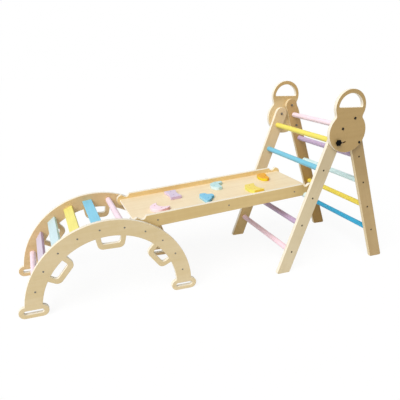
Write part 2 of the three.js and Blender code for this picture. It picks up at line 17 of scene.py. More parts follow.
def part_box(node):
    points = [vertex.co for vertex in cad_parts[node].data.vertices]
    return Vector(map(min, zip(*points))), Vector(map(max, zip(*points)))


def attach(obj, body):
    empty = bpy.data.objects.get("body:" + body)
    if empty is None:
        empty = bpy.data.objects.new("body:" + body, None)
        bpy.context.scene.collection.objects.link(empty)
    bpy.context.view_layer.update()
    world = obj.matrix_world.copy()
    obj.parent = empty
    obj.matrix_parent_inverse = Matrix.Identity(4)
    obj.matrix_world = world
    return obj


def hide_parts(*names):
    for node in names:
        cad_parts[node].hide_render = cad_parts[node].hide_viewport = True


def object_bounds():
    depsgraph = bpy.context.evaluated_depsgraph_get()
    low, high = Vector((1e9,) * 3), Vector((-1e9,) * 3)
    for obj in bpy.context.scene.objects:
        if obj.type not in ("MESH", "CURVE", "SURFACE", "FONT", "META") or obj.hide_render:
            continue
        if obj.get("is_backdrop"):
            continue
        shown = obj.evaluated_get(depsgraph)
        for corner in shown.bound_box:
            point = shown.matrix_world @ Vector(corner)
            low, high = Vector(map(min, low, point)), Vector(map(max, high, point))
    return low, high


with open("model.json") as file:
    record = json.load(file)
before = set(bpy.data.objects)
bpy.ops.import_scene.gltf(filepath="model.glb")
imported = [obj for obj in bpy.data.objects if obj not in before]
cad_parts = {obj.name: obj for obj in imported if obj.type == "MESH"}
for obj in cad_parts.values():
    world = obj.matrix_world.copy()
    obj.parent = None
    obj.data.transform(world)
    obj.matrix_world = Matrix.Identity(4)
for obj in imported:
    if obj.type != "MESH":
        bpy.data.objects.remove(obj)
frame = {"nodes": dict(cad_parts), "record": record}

nodes = frame["nodes"]
body_of = {
    name: body
    for body, names in frame["record"]["behaviour"]["bodies"].items()
    for name in names
}
cad_low, cad_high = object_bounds()
mm = 0.001
print("CAD box in metres:", [round(high - low, 4) for low, high in zip(cad_low, cad_high)])

# %% [markdown]
# ## The photographer's camera
# The picture was taken from the left end of the row, from about the height of the ladder's
# handles and slightly downwards. Its place and focal length were worked out from points that
# can be recognised in it, such as bolts, feet and rung ends. The camera is built from its
# three directions: right, up and backwards.

# %% Camera
picture_width = 400
focal_pixels = 414.9
camera_place = Vector((-838.8, -1864.4, 1063.8)) * mm
heading, downward, roll = 0.3948, 0.3378, 0.026

forward = Vector((
    math.cos(downward) * math.sin(heading),
    math.cos(downward) * math.cos(heading),
    -math.sin(downward),
))
level_right = Vector((math.cos(heading), -math.sin(heading), 0))
level_up = level_right.cross(forward)
camera_right = level_right * math.cos(roll) + level_up * math.sin(roll)
camera_up = level_up * math.cos(roll) - level_right * math.sin(roll)

lens = bpy.data.cameras.new("photo_camera")
lens.sensor_fit = "HORIZONTAL"
lens.lens = lens.sensor_width * focal_pixels / picture_width
lens.clip_start, lens.clip_end = 0.05, 60
camera = bpy.data.objects.new("photo_camera", lens)
bpy.context.scene.collection.objects.link(camera)
turn = Matrix((camera_right, camera_up, -forward)).transposed()
camera.matrix_world = Matrix.Translation(camera_place) @ turn.to_4x4()
bpy.context.scene.camera = camera
print(f"camera with a {lens.lens:.1f} mm lens at {tuple(round(v, 3) for v in camera_place)}")

# %% [markdown]
# ## Wiring nodes in code
# Materials and geometry trees are both node trees. One small helper adds a node, sets its
# options and fills its inputs. An input given as a number is set on the socket, and an input
# given as another node's output is wired to it.

# %% Helpers
def add(tree, kind, inputs=None, **options):
    node = tree.nodes.new(kind)
    for option, value in options.items():
        setattr(node, option, value)
    for socket, value in (inputs or {}).items():
        if isinstance(value, bpy.types.NodeSocket):
            tree.links.new(value, node.inputs[socket])
        else:
            node.inputs[socket].default_value = value
    return node


def math_node(tree, operation, *values):
    return add(tree, "ShaderNodeMath", dict(enumerate(values)), operation=operation).outputs[0]


def linear(hex_colour):
    """A colour written as a painter's hex code, turned into the linear numbers that light uses."""
    shares = [int(hex_colour[i:i + 2], 16) / 255 for i in (1, 3, 5)]
    return [s / 12.92 if s <= 0.04045 else ((s + 0.055) / 1.055) ** 2.4 for s in shares] + [1]


print("helpers ready: add, math_node, linear")

# %% [markdown]
# ## A white studio
# The photograph has a plain white background. The sky is a pure white only where the camera
# or a mirror-like surface looks at it, and a softer white where it lights the wood. The floor
# is white in the same way, but it keeps a part of its shading, so that the feet still cast
# a faint shadow.

# %% Sky
room_light = 0.42


def looked_at(tree):
    """1 where the camera, a reflection or a view through glass looks, else 0."""
    rays = add(tree, "ShaderNodeLightPath").outputs
    mirrored = math_node(tree, "MAXIMUM", rays["Is Glossy Ray"], rays["Is Transmission Ray"])
    return math_node(tree, "MAXIMUM", rays["Is Camera Ray"], mirrored)


world = bpy.data.worlds.new("studio")
bpy.context.scene.world = world
world.use_nodes = True
sky = world.node_tree
background = sky.nodes["Background"]
strength = add(sky, "ShaderNodeMapRange", {
    "Value": looked_at(sky), "To Min": room_light, "To Max": 1,
})
sky.links.new(strength.outputs[0], background.inputs["Strength"])
background.inputs["Color"].default_value = (1, 1, 1, 1)
bpy.context.scene.view_settings.view_transform = "Standard"
print(f"the sky lights the frame with {room_light} of white")

# %% Floor
floor_size = 30
paper_white = (0.82, 0.82, 0.82, 1)
glow_strength, glow_share = 1.025, 0.88

floor_mesh = bpy.data.meshes.new("floor")
half = floor_size / 2
corners = [(-half, -half, 0), (half, -half, 0), (half, half, 0), (-half, half, 0)]
floor_mesh.from_pydata(corners, [], [(0, 1, 2, 3)])
floor = bpy.data.objects.new("floor", floor_mesh)
bpy.context.scene.collection.objects.link(floor)
floor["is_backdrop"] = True

paper = bpy.data.materials.new("white_paper")
paper.use_nodes = True
sheet = paper.node_tree
sheet.nodes.remove(sheet.nodes["Principled BSDF"])
matt = add(sheet, "ShaderNodeBsdfDiffuse", {"Color": paper_white})
glow = add(sheet, "ShaderNodeEmission", {"Color": (1, 1, 1, 1), "Strength": glow_strength})
share = math_node(sheet, "MULTIPLY", looked_at(sheet), glow_share)
paper_mix = add(sheet, "ShaderNodeMixShader", {0: share, 1: matt.outputs[0], 2: glow.outputs[0]})
sheet.links.new(paper_mix.outputs[0], sheet.nodes["Material Output"].inputs["Surface"])
floor_mesh.materials.append(paper)
print(f"floor of {floor_size} m, marked as stage")

# %% [markdown]
# ## One soft lamp
# In the photograph the tops and the left edges are brightest, the broad faces that look at
# the camera are a step darker, and edges that look to the right are in shade. So the main
# light comes from the upper left and a little from the front. A sun with a wide angle acts
# like a large softbox, and it lights both ends of the long row alike.

# %% Lamp
lamp_from = Vector((-0.62, -0.42, 0.66))
lamp_strength = 2.85
lamp_spread = 40

softbox = bpy.data.lights.new("softbox", "SUN")
softbox.energy = lamp_strength
softbox.angle = math.radians(lamp_spread)
lamp = bpy.data.objects.new("softbox", softbox)
lamp.rotation_euler = lamp_from.to_track_quat("Z", "Y").to_euler()
bpy.context.scene.collection.objects.link(lamp)
print(f"softbox of strength {lamp_strength}, {lamp_spread} degrees wide")

# %% [markdown]
# ## Steps that all patterns share
# Wood, paint, steel and plastic are all made alike. Noise is spread by a scale per metre, mixed
# by weights and eased, and then it mixes two colours. The same noise gives a little roughness
# and relief.

# %% Pattern steps
def new_material(name):
    material = bpy.data.materials.new(name)
    material.use_nodes = True
    return material, material.node_tree


def spread_noise(tree, vector, scale, detail=3, roughness=0.55):
    stretched = add(tree, "ShaderNodeMapping", {"Vector": vector, "Scale": scale})
    return add(tree, "ShaderNodeTexNoise", {
        "Vector": stretched.outputs[0], "Scale": 1, "Detail": detail, "Roughness": roughness,
    }).outputs[0]


def weighted(tree, *pairs):
    total = 0
    for socket, weight in pairs:
        total = math_node(tree, "MULTIPLY_ADD", socket, weight, total)
    return total


def mixed(tree, factor, first, second, how="MIX"):
    colours = {0: factor, 6: first, 7: second}
    return add(tree, "ShaderNodeMix", colours, data_type="RGBA", blend_type=how).outputs[2]


def eased(tree, value, low, high):
    return add(tree, "ShaderNodeMapRange", {
        "Value": value, "From Min": low, "From Max": high,
    }, interpolation_type="SMOOTHSTEP").outputs[0]


def turned(tree, vector, angle):
    """A vector turned about Y."""
    inputs = {"Vector": vector, "Angle": angle}
    return add(tree, "ShaderNodeVectorRotate", inputs, rotation_type="Y_AXIS").outputs[0]


def part_of(tree, vector, axis):
    return add(tree, "ShaderNodeSeparateXYZ", {0: vector}).outputs[axis]


def broad_share(tree, normal, through):
    """1 on the broad faces of a flat piece and 0 on its edges, by the normal's share across it."""
    return eased(tree, math_node(tree, "ABSOLUTE", part_of(tree, normal, through)), 0.6, 0.85)


def wire_surface(tree, colour, rough, relief, least_rough, strength, depth, gloss):
    """Wires a pattern's colour, its roughness above the least one and its relief in metres, and
    sets the shader's sockets for its gloss."""
    surface = tree.nodes["Principled BSDF"].inputs
    tree.links.new(colour, surface["Base Color"])
    tree.links.new(math_node(tree, "ADD", rough, least_rough), surface["Roughness"])
    bump = add(tree, "ShaderNodeBump", {"Strength": strength, "Distance": depth, "Height": relief})
    tree.links.new(bump.outputs[0], surface["Normal"])
    for socket, value in gloss.items():
        surface[socket].default_value = value


print("pattern steps ready: noise, weights, mixes and wiring")

# %% [markdown]
# ## Birch plywood
# A plywood face shows long fibres, a soft drift of tone and faint ripples across the grain
# that catch the light. Its sawn edge shows the plies: thin veneers, in turn pale and darker.
# Both patterns read Object coordinates, turned so that X runs along the grain, so they stay
# on the piece when a joint moves it. Which pattern shows is told by the surface's normal: it
# looks along the sheet's thickness on a face, and across it on an edge. The walls of milled
# holes get a brown painted shade, for the shade deep inside them, and an attribute called
# milled marks them. Some sheets also get a painted shade, deeper or warmer towards one end,
# which comes in over a range of heights.

# %% Birch
fibre_spread, thread_spread, ripple_spread = (3.5, 60, 60), (24, 900, 900), (44, 9, 9)
drift_spread, saw_spread = (2.6, 8, 8), (160, 900, 160)
veneer = 1.4 * mm
hole_painted_shade = "#8b6c42"
varnish = {"Specular IOR Level": 0.4, "Coat Weight": 0.12, "Coat Roughness": 0.34}


def birch(name, pale, deep, edge_pale, edge_deep, grain, middle, through="Y", painted_shade=None):
    """Plywood whose grain runs along a direction in X-Z, on a sheet whose mid plane is at middle.
    The last argument, if given, is a painted shade: its tint, the height where it starts and the
    height where it is full."""
    material, tree = new_material(name)
    sensed = add(tree, "ShaderNodeTexCoord").outputs
    angle = math.atan2(grain[1], grain[0])
    laid = turned(tree, sensed["Object"], angle)
    facing = turned(tree, sensed["Normal"], angle)
    fibres = spread_noise(tree, laid, fibre_spread, 5, 0.6)
    threads = spread_noise(tree, laid, thread_spread, 3, 0.6)
    ripples = spread_noise(tree, laid, ripple_spread, 2)
    drift = spread_noise(tree, laid, drift_spread, 2)
    tone = weighted(tree, (fibres, 0.35), (threads, 0.12), (ripples, 0.14), (drift, 0.39))
    face = mixed(tree, eased(tree, tone, 0.3, 0.7), linear(pale), linear(deep))
    # Painted shade: a tint multiplies the face over a range of heights.
    if painted_shade:
        tint, start, full = painted_shade
        tinted = eased(tree, part_of(tree, sensed["Object"], "Z"), start, full)
        face = mixed(tree, tinted, face, linear(tint), "MULTIPLY")

    depth = math_node(tree, "SUBTRACT", part_of(tree, laid, through), middle)
    plies = math_node(tree, "PINGPONG", math_node(tree, "MULTIPLY", depth, 1 / veneer), 1)
    saw = spread_noise(tree, laid, saw_spread, 3)
    band = weighted(tree, (eased(tree, plies, 0.35, 0.65), 0.7), (saw, 0.3))
    edge = mixed(tree, band, linear(edge_pale), linear(edge_deep))
    # Painted shade: the walls of sharp holes are mixed towards a brown, for the shade inside them.
    milled = add(tree, "ShaderNodeAttribute", attribute_name="milled").outputs["Fac"]
    edge = mixed(tree, milled, edge, linear(hole_painted_shade))

    colour = mixed(tree, broad_share(tree, facing, through), edge, face)
    rough = weighted(tree, (threads, -0.12), (fibres, 0.14))
    relief = weighted(tree, (threads, 0.6), (fibres, 0.4))
    wire_surface(
        tree, colour, rough, relief, least_rough=0.5, strength=0.22, depth=0.25 * mm,
        gloss=varnish,
    )
    return material


print(f"birch with veneers of {veneer / mm:.1f} mm")

# %% [markdown]
# ## Paint
# The cross-pieces and the climbing holds are stained and painted in soft colours. The coat is
# thin, so a trace of the wood's fibres stays in its colour and in its surface, and it has
# a satin gloss. The fibres of a rung run along it, which is along Y. Each colour has its own
# tone on the front ladder, on the back ladder and on the arch, with painted shade where
# those rungs lie in shade and painted light where they lie in light. The climbing holds and
# the flat slats have three tones each: the broad face, a wall, and a painted shade for the
# walls on the side that is in shade in the photograph. On most holds the wall tone is also
# paler than the top, a painted light. The surface's normal tells which one shows. A slat
# lies turned, so its normals are turned back first.

# %% Painted wood
satin = {"Coat Weight": 0.1, "Coat Roughness": 0.25}
stain_clouds = (14, 14, 14)
shaded_way = (0.707, -0.707, 0)
shade_starts, shade_full = 0.5, 0.85
least_stain, stain_range = 0.05, 0.1


def painted(name, colour, fibre_scale, wall=None, painted_shade_wall=None, turned_by=0):
    """A stain on wood. The two wall colours show beside the broad faces of a flat piece, and the
    second is a painted shade for the walls on the shaded side.
    """
    material, tree = new_material(name)
    sensed = add(tree, "ShaderNodeTexCoord").outputs
    fibres = spread_noise(tree, sensed["Object"], fibre_scale, 4, 0.6)
    clouds = spread_noise(tree, sensed["Object"], stain_clouds, 2)
    tone = eased(tree, weighted(tree, (fibres, 0.6), (clouds, 0.4)), 0.3, 0.7)
    coat = linear(colour)
    # The walls: those that look along the shaded way get the painted shade, the others the wall
    # tone.
    if wall:
        facing = turned(tree, sensed["Normal"], -turned_by)
        vectors = {0: facing, 1: shaded_way}
        away = add(tree, "ShaderNodeVectorMath", vectors, operation="DOT_PRODUCT").outputs["Value"]
        in_shade = eased(tree, away, shade_starts, shade_full)
        side = mixed(tree, in_shade, linear(wall), linear(painted_shade_wall))
        coat = mixed(tree, broad_share(tree, facing, "Z"), side, coat)
    stain = math_node(tree, "MULTIPLY_ADD", tone, stain_range, least_stain)
    rough = weighted(tree, (fibres, 0.12), (clouds, 0.12))
    stained = mixed(tree, stain, coat, (0, 0, 0, 1))
    wire_surface(
        tree, stained, rough, fibres, least_rough=0.36, strength=0.12, depth=0.15 * mm,
        gloss=satin,
    )
    return material


print("painted wood ready: a stain under a satin coat")

# %% Paints
along_rung = (360, 6, 360)
along_ramp = (7, 260, 260)
# Painted shade and painted light: the same paints get darker or paler tones on each ladder and the
# arch, where those rungs lie in shade or light.
rung_tones_with_painted_light_and_shade = {
    "front": {
        "yellow": "#f1e264", "blue": "#78c5e0", "mint": "#e2f4f1", "lilac": "#c5abcc",
        "pink": "#ffdfeb",
    },
    "back": {
        "pink": "#f9e3ee", "lilac": "#c8b2d3", "mint": "#e2ffff", "yellow": "#ffe656",
        "blue": "#31b1df",
    },
    "arch": {"pink": "#fae2ee", "lilac": "#d1c4d5", "blue": "#85d0eb"},
}
rung_paint = {
    (place, colour): painted(f"{place}_{colour}_paint", tone, along_rung)
    for place, tones in rung_tones_with_painted_light_and_shade.items() for colour, tone in tones.items()
}
# A slat's broad tone, and the painted shade for its walls on the shaded side.
slat_tones_with_painted_shade = {
    "lilac": ("#d1c4d5", "#bb8cac"), "mint": ("#c8e0e5", "#c8f6e6"),
    "yellow": ("#f0e57c", "#ffd848"), "blue": ("#85d0eb", "#74c4e8"),
}
# A hold's top, its wall tone with a painted light on most holds, and a painted shade for its walls
# on the shaded side.
hold_tones_with_painted_light_and_shade = {
    "pink": ("#ffe4ef", "#ffe4ee", "#f4bcc0"), "lilac": ("#dbcbe0", "#e2cee8", "#c7a8c6"),
    "blue": ("#7cc9ea", "#9ad8f4", "#5eaac8"), "mint": ("#c0e6e7", "#daf0f4", "#b6d6d0"),
    "yellow": ("#f5dc60", "#eae66c", "#f8c82c"), "orange": ("#f4ae0c", "#eccf10", "#d98a0c"),
}
hold_paint = {
    colour: painted(f"hold_{colour}_paint", top, along_ramp, *walls)
    for colour, (top, *walls) in hold_tones_with_painted_light_and_shade.items()
}
cap_tones = {
    "pink": "#d99fb3", "lilac": "#b59cbb", "blue": "#6cb4d2",
    "mint": "#9fcccc", "yellow": "#d6b04c", "orange": "#cf8420",
}
cap_paint = {
    colour: painted(f"cap_{colour}_paint", tone, along_ramp) for colour, tone in cap_tones.items()
}
print("paints:", len(rung_paint), "for rungs and", len(hold_paint) + len(cap_paint), "on the ramp")

# %% [markdown]
# ## Steel and plastic
# Nuts, washers and studs are zinc-plated steel: a metal with fine, blotchy variation in its
# gloss. The bolts' heads and the screws are darker, and the screws on the ladder are almost
# black. The star knobs are black moulded plastic, which has a very fine grain and a dull
# shine. Their patterns have no direction, so plain noise is enough.

# %% Steel and plastic
gloss_clouds = (130, 130, 130)


def fine_finish(name, colour, shade, least_rough, grain_size, relief_depth, gloss):
    material, tree = new_material(name)
    place = add(tree, "ShaderNodeTexCoord").outputs["Object"]
    grain = spread_noise(tree, place, (1 / grain_size,) * 3, 3)
    cloud = spread_noise(tree, place, gloss_clouds, 2)
    clouded = mixed(tree, cloud, linear(colour), linear(shade))
    rough = weighted(tree, (cloud, 0.25), (grain, 0.1))
    wire_surface(tree, clouded, rough, grain, least_rough, 0.15, relief_depth, gloss)
    return material


steel_tones = {
    "zinc": ("#7f7b73", "#65625c", 0.2), "grey_screw": ("#77797c", "#606265", 0.22),
    "dark_screw": ("#2a2927", "#1d1c1b", 0.22), "dark_bolt": ("#353330", "#252321", 0.26),
}
steel = {
    kind: fine_finish(
        kind + "_steel", *tones, grain_size=0.8 * mm, relief_depth=0.05 * mm, gloss={"Metallic": 1},
    )
    for kind, tones in steel_tones.items()
}
black_plastic = fine_finish(
    "black_plastic", "#040404", "#080808", least_rough=0.45, grain_size=0.5 * mm,
    relief_depth=0.1 * mm, gloss={"Specular IOR Level": 0.06},
)
print("steels:", ", ".join(steel), "- and black plastic")

# %% [markdown]
# ## Reading a sheet's outline from the frame
# Every plywood piece is a flat outline with a thickness. The CAD node holds that outline as
# straight steps. This cell reads it back: it looks for the edges between the sawn wall and
# the front of the sheet, and chains them into loops. A loop whose edge is chamfered in CAD
# is a routed edge, and one without a chamfer is a drilled or milled hole with a sharp rim.

# %% Outline loops of a node
ply_chamfer = 1.5 * mm
same_point, same_level = 0.01 * mm, 0.02 * mm
wall_slope = 0.05
row_axes = (Vector((1, 0, 0)), Vector((0, 0, 1)), Vector((0, -1, 0)))


def outline_loops(node, axes, chamfer=ply_chamfer):
    """Loops of a sheet in its own plane: routed ones, sharp ones, and the sheet's two depths."""
    shape = bmesh.new()
    shape.from_mesh(nodes[node].data)
    bmesh.ops.remove_doubles(shape, verts=shape.verts, dist=same_point)
    bmesh.ops.transform(shape, matrix=Matrix(axes).to_4x4(), verts=shape.verts)
    shape.normal_update()
    depths = [v.co.z for v in shape.verts]
    back, front = min(depths), max(depths)
    is_wall = {face: abs(face.normal.z) < wall_slope for face in shape.faces}
    found = []
    for level in (front - chamfer, front):
        rim = [
            edge for edge in shape.edges
            if all(abs(v.co.z - level) < same_level for v in edge.verts)
            and sum(is_wall[face] for face in edge.link_faces) == 1
        ]
        found.append(chained(rim))
    shape.free()
    return found[0], found[1], back, front


def chained(rim):
    """Puts loose edges in order, as closed loops of points."""
    ahead = {}
    for edge in rim:
        for one, other in (edge.verts, reversed(edge.verts)):
            ahead.setdefault(one, []).append(other)
    loops = []
    while ahead:
        start = next(iter(ahead))
        loop, last, here = [], None, start
        while here in ahead:
            loop.append(Vector(here.co.xy))
            onward = [v for v in ahead.pop(here) if v is not last and (v in ahead or v is start)]
            last, here = here, (onward[0] if onward else None)
        loops.append(loop)
    return loops


routed, sharp, back, front = outline_loops("head_plate_near", row_axes)
print("head plate:", len(routed), "routed loops and", len(sharp), "sharp ones,",
      round((front - back) / mm, 2), "mm thick")

# %% [markdown]
# ## Making its curves round again
# The steps of the outline are turned back into smooth curves. Where two steps meet at a small
# angle, the real outline bends, and each step becomes a curved piece through its two ends.
# Where they meet at a large angle there is a real corner, which stays. A step that is much
# longer than its neighbour is a straight run, so the curve leaves it in line.

# %% Smooth loops
corner_angle = math.radians(50)
straight_ratio = 1.8
nearly_straight, bend_per_step = 0.004, 0.06


def heading_at(loop, i):
    """The curve's direction at a point, before it and after it."""
    before = loop[i] - loop[i - 1]
    after = loop[(i + 1) % len(loop)] - loop[i]
    if before.angle(after) > corner_angle:
        return before.normalized(), after.normalized()
    if before.length > straight_ratio * after.length:
        shared = before.normalized()
    elif after.length > straight_ratio * before.length:
        shared = after.normalized()
    else:
        shared = (before.normalized() + after.normalized()).normalized()
    return shared, shared


def smoothed(loop, longest=4 * mm):
    """A loop with every bent step drawn as a curve that keeps the step's two directions."""
    headings = [heading_at(loop, i) for i in range(len(loop))]
    points = []
    for i, start in enumerate(loop):
        end = loop[(i + 1) % len(loop)]
        leaving, arriving = headings[i][1], headings[(i + 1) % len(loop)][0]
        length = (end - start).length
        bend = max(leaving.angle(end - start), arriving.angle(end - start))
        steps = max(2, math.ceil(bend / bend_per_step), math.ceil(length / longest / 2))
        if bend < nearly_straight:
            steps = 1
        for k in range(steps):
            t = k / steps
            points.append(
                start * (2 * t ** 3 - 3 * t ** 2 + 1) + leaving * length * (t ** 3 - 2 * t ** 2 + t)
                + end * (3 * t ** 2 - 2 * t ** 3) + arriving * length * (t ** 3 - t ** 2)
            )
    return points


print("points in the head plate's outer loop:", max(map(len, routed)), "->",
      max(len(smoothed(loop)) for loop in routed))

# %% [markdown]
# ## A sheet with routed edges
# A flat Blender curve can be filled, thickened and bevelled in one go, holes included, and
# that is just what a sawn and routed panel is. The curve is turned into a mesh and laid in
# its place. Sharp-rimmed holes are cut afterwards with a Boolean modifier. A Weighted Normal
# modifier keeps the broad faces flat while the rounded edges shade smoothly.

# %% Flat solids
routed_radius, routed_steps = 1.5 * mm, 2
doubles_within = 0.002 * mm


def link(name, mesh):
    thing = bpy.data.objects.new(name, mesh)
    bpy.context.scene.collection.objects.link(thing)
    return thing


def made_plain(thing):
    """Bakes an object's modifiers, or a curve, into a plain mesh."""
    evaluated = thing.evaluated_get(bpy.context.evaluated_depsgraph_get())
    mesh = bpy.data.meshes.new_from_object(evaluated)
    thing.modifiers.clear()
    return mesh


def area_of(loop):
    return sum(a.x * b.y - b.x * a.y for a, b in zip(loop, loop[1:] + loop[:1])) / 2


def flat_solid(name, loops, thickness, radius):
    """Outlines in a plane, filled and made thick, with the edges rounded by the radius."""
    curve = bpy.data.curves.new(name, "CURVE")
    curve.dimensions, curve.fill_mode = "2D", "BOTH"
    curve.extrude = thickness / 2 - radius
    curve.bevel_depth, curve.bevel_resolution, curve.offset = radius, routed_steps, -radius
    outer = max(loops, key=lambda loop: abs(area_of(loop)))
    for loop in loops:
        if (area_of(loop) > 0) != (loop is outer):
            loop = loop[::-1]
        spline = curve.splines.new("POLY")
        spline.points.add(len(loop) - 1)
        spline.points.foreach_set("co", [c for p in loop for c in (p.x, p.y, 0, 1)])
        spline.use_cyclic_u = True
    carrier = link(name + "_curve", curve)
    mesh = made_plain(carrier)
    bpy.data.objects.remove(carrier)
    tidy_mesh(mesh)
    return mesh


def tidy_mesh(mesh):
    """Merges doubles and turns every face outwards."""
    shape = bmesh.new()
    shape.from_mesh(mesh)
    bmesh.ops.remove_doubles(shape, verts=shape.verts, dist=doubles_within)
    bmesh.ops.recalc_face_normals(shape, faces=shape.faces)
    shape.to_mesh(mesh)
    shape.free()


def kept_mesh(name, shape):
    mesh = bpy.data.meshes.new(name)
    shape.to_mesh(mesh)
    shape.free()
    return mesh


def joined(meshes):
    shape = bmesh.new()
    for mesh in meshes:
        shape.from_mesh(mesh)
    return kept_mesh("joined", shape)


print(f"flat solids get an edge radius of {routed_radius / mm:.1f} mm")

# %% Sheets
def softened(thing, angle=40):
    """Smooth shading over rounded edges, with the broad faces kept flat."""
    thing.data.shade_smooth()
    thing.data.set_sharp_from_angle(angle=math.radians(angle))
    thing.modifiers.new("weighted", "WEIGHTED_NORMAL").keep_sharp = True
    thing.data = made_plain(thing)


def finished(thing, material, finish_slot, *replaced):
    """Gives a piece its material and its body, and hides the CAD nodes that it stands for."""
    thing.data.materials.clear()
    thing.data.materials.append(material)
    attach(thing, body_of[replaced[0]])
    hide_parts(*replaced)
    return thing


def mark_milled(mesh, sharp):
    """Marks the walls of sharp holes for the material's painted shade."""
    boxes = [[f(p[i] for p in loop) for i in (0, 1) for f in (min, max)] for loop in sharp]
    milled = mesh.attributes.new("milled", "FLOAT", "FACE")
    for face in mesh.polygons:
        x, y = face.center.xy
        in_hole = any(
            left - mm < x < right + mm and low - mm < y < high + mm
            for left, right, low, high in boxes
        )
        upright = abs(face.normal.z) < 0.5
        milled.data[face.index].value = float(in_hole and upright)


def sheet_piece(node, wood, finish_slot, axes=row_axes, radius=routed_radius, chamfer=ply_chamfer):
    """Makes a flat CAD node again as one sheet with rounded edges, and puts it in its place."""
    routed, sharp, back, front = outline_loops(node, axes, chamfer)
    thickness = front - back
    mesh = flat_solid(node + "_sheet", [smoothed(loop) for loop in routed], thickness, radius)
    thing = link(node + "_sheet", mesh)
    if sharp:
        rims = [flat_solid(node + "_rim", [smoothed(loop, mm)], 2 * thickness, 0) for loop in sharp]
        cutter = link(node + "_cutter", joined(rims))
        bite = thing.modifiers.new("holes", "BOOLEAN")
        bite.object, bite.operation, bite.solver = cutter, "DIFFERENCE", "EXACT"
        thing.data = made_plain(thing)
        bpy.data.objects.remove(cutter)
    mark_milled(thing.data, sharp)
    laid = Matrix(axes).transposed().to_4x4() @ Matrix.Translation((0, 0, (back + front) / 2))
    thing.data.transform(laid)
    low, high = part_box(node)
    for vertex in thing.data.vertices:
        vertex.co = Vector(map(max, low, map(min, high, vertex.co)))
    tidy_mesh(thing.data)
    softened(thing)
    return finished(thing, wood, finish_slot, node)


print("sheets ready: outline, holes, place and finish")

# %% [markdown]
# ## The ladder's legs
# Two pairs of legs lean against each other under the head plates. Each leg is a straight sheet
# with a round head, and its grain runs along it. In the photograph the front pair is pale and the
# pair behind is deeper. A painted shade makes the near legs darker towards their heads, and the
# far legs darker and warmer towards their feet. The back legs' edges get a painted shade too.

# %% Legs
edge_tones = ("#f2ecdd", "#e1d5bd")
shaded_edge_tones = ("#ead9b4", "#d2bb8f")


def middle_of(node):
    low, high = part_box(node)
    return (low + high) / 2


def ply_piece(node, tones, rims, grain, drift=None):
    """A sheet of birch with the tones of its faces and of its edges, and a painted shade if one is
    given.
    """
    wood = birch(node + "_birch", *tones, *rims, grain, middle_of(node).y, painted_shade=drift)
    piece = sheet_piece(node, wood, "birch_ply")
    print(piece.name, len(piece.data.polygons), "faces")


def leg_grain(upper, lower):
    way = middle_of(lower) - middle_of(upper)
    return way.x, way.z


front_grain = leg_grain("front_rung_blue", "front_rung_pink")
back_grain = leg_grain("back_rung_pink", "back_rung_blue")
leg_tones = {
    ("front", "near"): ("#d4c5a3", "#c8b690"), ("back", "near"): ("#b89e6e", "#aa8e60"),
    ("front", "far"): ("#dcc49c", "#d0b58b"), ("back", "far"): ("#c29f68", "#b28f5a"),
}
# Painted shade on each leg: a tint and the heights between which it comes in.
leg_painted_shades = {
    ("front", "near"): ("#ebe7e2", 0.38, 0.55), ("back", "near"): ("#ebe7de", 0.35, 0.55),
    ("front", "far"): ("#fff9d9", 0.45, 0.25), ("back", "far"): ("#d7cb98", 0.74, 0.3),
}
for (pair, side), tones in leg_tones.items():
    grain, rims = (front_grain, edge_tones) if pair == "front" else (back_grain, shaded_edge_tones)
    ply_piece(f"{pair}_leg_{side}", tones, rims, grain, leg_painted_shades[pair, side])

# %% [markdown]
# ## The head plates
# Each plate is a disc with a ring handle on top. It holds the bolts of both legs, and an arc
# slot in it guides the clamp when the ladder folds. The near plate is the darkest in the
# picture. The far one is pale, and a painted shade makes only its ring a little darker.

# %% Head plates
plate_tones = {"near": ("#b39662", "#a98c58"), "far": ("#dcc394", "#d0b584")}
# Painted shade on the far plate's ring.
plate_painted_shades = {"near": None, "far": ("#e2d6bc", 0.78, 0.86)}
plate_grain = (1, 0.1)
for side, tones in plate_tones.items():
    ply_piece(f"head_plate_{side}", tones, edge_tones, plate_grain, plate_painted_shades[side])

# %% [markdown]
# ## The arch
# The two half rings are each sawn in one piece, with three finger loops inside and two slotted
# feet, and carry the cross-pieces between them. The sheet's grain runs along the row.

# %% Arch panels
arch_tones = {"near": ("#dac7a0", "#cfb98a"), "far": ("#dcbf90", "#ccac7b")}
arch_grain = (1, 0.06)
for side, tones in arch_tones.items():
    ply_piece(f"arch_panel_{side}", tones, edge_tones, arch_grain)

# %% [markdown]
# ## The ramp's rails
# The rails hook over a rung at each end with their notches. The ramp leans, so its own two
# directions are measured from the frame: from the arch's rung to the ladder's rung, and
# square to that.

# %% Ramp rails
low_hook, high_hook = middle_of("arch_rung_7_lilac"), middle_of("front_rung_mint")
ramp_along = Vector((high_hook.x - low_hook.x, 0, high_hook.z - low_hook.z)).normalized()
ramp_up = Vector((-ramp_along.z, 0, ramp_along.x))
ramp_grain = (ramp_along.x, ramp_along.z)
rail_tones = {"near": ("#d1b77f", "#c5a971"), "far": ("#e7cb8e", "#d8b77c")}
for side, tones in rail_tones.items():
    ply_piece(f"ramp_rail_{side}", tones, edge_tones, ramp_grain)
print(f"the ramp leans {math.degrees(math.atan2(ramp_along.z, ramp_along.x)):.1f} degrees")

# %% [markdown]
# ## Climbing holds
# Six painted shapes are screwed to the board: a crescent, a block, a boot, a hook, a fan and
# a heart. They are sheets too, but lie in the ramp's plane and are painted all over.

# %% Holds
hold_radius, hold_chamfer = 1.4 * mm, 1.2 * mm
ramp_across = Vector((0, 1, 0))
ramp_axes = (ramp_along, ramp_across, ramp_up)
for node in (name for name in nodes if name.startswith("hold_")):
    colour = node.split("_")[-1]
    paint = hold_paint[colour]
    hold = sheet_piece(node, paint, "paint_" + colour, ramp_axes, hold_radius, hold_chamfer)
    print(hold.name, len(hold.data.polygons), "faces")

